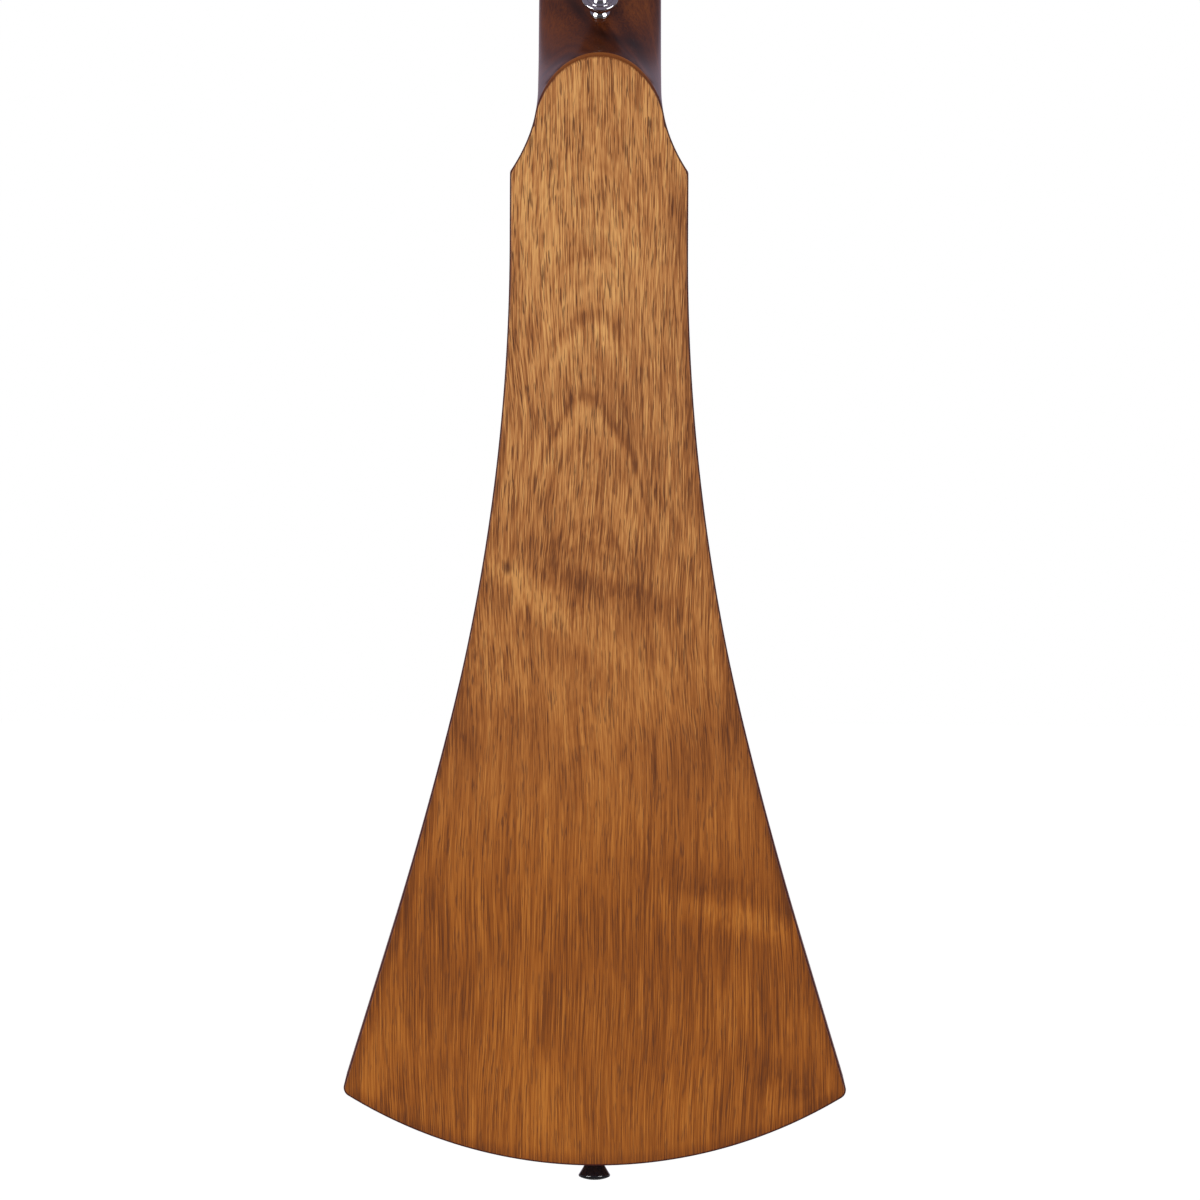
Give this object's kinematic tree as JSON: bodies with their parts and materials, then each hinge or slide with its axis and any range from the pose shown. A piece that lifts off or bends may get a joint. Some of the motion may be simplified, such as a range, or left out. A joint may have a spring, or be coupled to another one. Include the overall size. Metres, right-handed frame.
{
  "type": "travel guitar",
  "caption": "Small travel guitar: long flared hollow body with a tongue up the heel, soundhole, fretted neck, worm-geared tuners, pulled bridge pins and strap hardware.",
  "frame": {"origin": "on the centreline at the front edge of the nut, on the plane where neck and fingerboard are glued; the guitar hangs by its headstock just above", "axes": "+Z along the neck towards the headstock, +Y out of the soundboard towards the strings, +X towards the lowest string; the back faces -Y"},
  "size_m": [0.1854, 0.0617, 0.8576],
  "materials": {
    "back_wood": "satin",
    "neck_wood": "gloss",
    "side_wood": "satin",
    "top_wood": "satin",
    "inner_wood": "raw",
    "black_wood": "satin",
    "bone": "satin",
    "black_plastic": "gloss",
    "chrome": "polished",
    "steel": "plain",
    "bronze": "wound",
    "pearl_plastic": "gloss"
  },
  "bodies": {
    "guitar": {"back_plate": "back_wood", "neck": "neck_wood", "left_rib": "side_wood", "right_rib": "side_wood", "tail_rib": "side_wood", "soundboard": "top_wood", "neck_block": "inner_wood", "tail_block": "inner_wood", "left_top_lining": "inner_wood", "right_top_lining": "inner_wood", "left_back_lining": "inner_wood", "right_back_lining": "inner_wood", "upper_brace": "inner_wood", "bass_brace": "inner_wood", "treble_brace": "inner_wood", "lower_brace": "inner_wood", "bridge_plate": "inner_wood", "upper_back_brace": "inner_wood", "middle_back_brace": "inner_wood", "lower_back_brace": "inner_wood", "neck_bar": "steel", "fingerboard": "black_wood", "bridge": "black_wood", "nut": "bone", "saddle": "bone", "strap_button": "chrome", "strap_button_screw": "chrome", "end_pin": "black_plastic", "bass_tuner_plate": "chrome", "treble_tuner_plate": "chrome", "string_1": "steel", "tuner_bushing_1": "chrome", "string_2": "steel", "tuner_bushing_2": "chrome", "string_3": "bronze", "tuner_bushing_3": "chrome", "string_4": "bronze", "tuner_bushing_4": "chrome", "string_5": "bronze", "tuner_bushing_5": "chrome", "string_6": "bronze", "tuner_bushing_6": "chrome"},
    "knob_1": {"tuner_knob_1": "pearl_plastic"},
    "knob_2": {"tuner_knob_2": "pearl_plastic"},
    "knob_3": {"tuner_knob_3": "pearl_plastic"},
    "knob_4": {"tuner_knob_4": "pearl_plastic"},
    "knob_5": {"tuner_knob_5": "pearl_plastic"},
    "knob_6": {"tuner_knob_6": "pearl_plastic"},
    "post_1": {"tuner_post_1": "chrome"},
    "post_2": {"tuner_post_2": "chrome"},
    "post_3": {"tuner_post_3": "chrome"},
    "post_4": {"tuner_post_4": "chrome"},
    "post_5": {"tuner_post_5": "chrome"},
    "post_6": {"tuner_post_6": "chrome"},
    "pin_1": {"bridge_pin_1": "black_plastic"},
    "pin_2": {"bridge_pin_2": "black_plastic"},
    "pin_3": {"bridge_pin_3": "black_plastic"},
    "pin_4": {"bridge_pin_4": "black_plastic"},
    "pin_5": {"bridge_pin_5": "black_plastic"},
    "pin_6": {"bridge_pin_6": "black_plastic"}
  },
  "joints": [
    {"name": "knob_turn_1", "type": "hinge", "parent": "guitar", "child": "knob_1", "pos_m": [-0.0175, -0.02194, 0.02068], "axis": [1, 0, 0], "continuous": true},
    {"name": "post_turn_1", "type": "hinge", "parent": "guitar", "child": "post_1", "pos_m": [-0.0175, -0.00561, 0.03141], "axis": [0, 0.9781, 0.2079], "continuous": true},
    {"name": "knob_turn_2", "type": "hinge", "parent": "guitar", "child": "knob_2", "pos_m": [-0.0175, -0.02942, 0.05589], "axis": [1, 0, 0], "continuous": true},
    {"name": "post_turn_2", "type": "hinge", "parent": "guitar", "child": "post_2", "pos_m": [-0.0175, -0.0131, 0.06662], "axis": [0, 0.9781, 0.2079], "continuous": true},
    {"name": "knob_turn_3", "type": "hinge", "parent": "guitar", "child": "knob_3", "pos_m": [-0.0175, -0.03691, 0.09111], "axis": [1, 0, 0], "continuous": true},
    {"name": "post_turn_3", "type": "hinge", "parent": "guitar", "child": "post_3", "pos_m": [-0.0175, -0.02058, 0.10184], "axis": [0, 0.9781, 0.2079], "continuous": true},
    {"name": "knob_turn_4", "type": "hinge", "parent": "guitar", "child": "knob_4", "pos_m": [0.0175, -0.03691, 0.09111], "axis": [1, 0, 0], "continuous": true},
    {"name": "post_turn_4", "type": "hinge", "parent": "guitar", "child": "post_4", "pos_m": [0.0175, -0.02058, 0.10184], "axis": [0, 0.9781, 0.2079], "continuous": true},
    {"name": "knob_turn_5", "type": "hinge", "parent": "guitar", "child": "knob_5", "pos_m": [0.0175, -0.02942, 0.05589], "axis": [1, 0, 0], "continuous": true},
    {"name": "post_turn_5", "type": "hinge", "parent": "guitar", "child": "post_5", "pos_m": [0.0175, -0.0131, 0.06662], "axis": [0, 0.9781, 0.2079], "continuous": true},
    {"name": "knob_turn_6", "type": "hinge", "parent": "guitar", "child": "knob_6", "pos_m": [0.0175, -0.02194, 0.02068], "axis": [1, 0, 0], "continuous": true},
    {"name": "post_turn_6", "type": "hinge", "parent": "guitar", "child": "post_6", "pos_m": [0.0175, -0.00561, 0.03141], "axis": [0, 0.9781, 0.2079], "continuous": true},
    {"name": "pin_pull_1", "type": "slide", "parent": "guitar", "child": "pin_1", "axis": [0, 1, 0], "range_m": [0, 0.025]},
    {"name": "pin_pull_2", "type": "slide", "parent": "guitar", "child": "pin_2", "axis": [0, 1, 0], "range_m": [0, 0.025]},
    {"name": "pin_pull_3", "type": "slide", "parent": "guitar", "child": "pin_3", "axis": [0, 1, 0], "range_m": [0, 0.025]},
    {"name": "pin_pull_4", "type": "slide", "parent": "guitar", "child": "pin_4", "axis": [0, 1, 0], "range_m": [0, 0.025]},
    {"name": "pin_pull_5", "type": "slide", "parent": "guitar", "child": "pin_5", "axis": [0, 1, 0], "range_m": [0, 0.025]},
    {"name": "pin_pull_6", "type": "slide", "parent": "guitar", "child": "pin_6", "axis": [0, 1, 0], "range_m": [0, 0.025]}
  ],
  "couplings": [
    {"joint": "post_turn_1", "follows": "knob_turn_1", "ratio": 0.071429},
    {"joint": "post_turn_2", "follows": "knob_turn_2", "ratio": 0.071429},
    {"joint": "post_turn_3", "follows": "knob_turn_3", "ratio": 0.071429},
    {"joint": "post_turn_4", "follows": "knob_turn_4", "ratio": 0.071429},
    {"joint": "post_turn_5", "follows": "knob_turn_5", "ratio": 0.071429},
    {"joint": "post_turn_6", "follows": "knob_turn_6", "ratio": 0.071429}
  ]
}
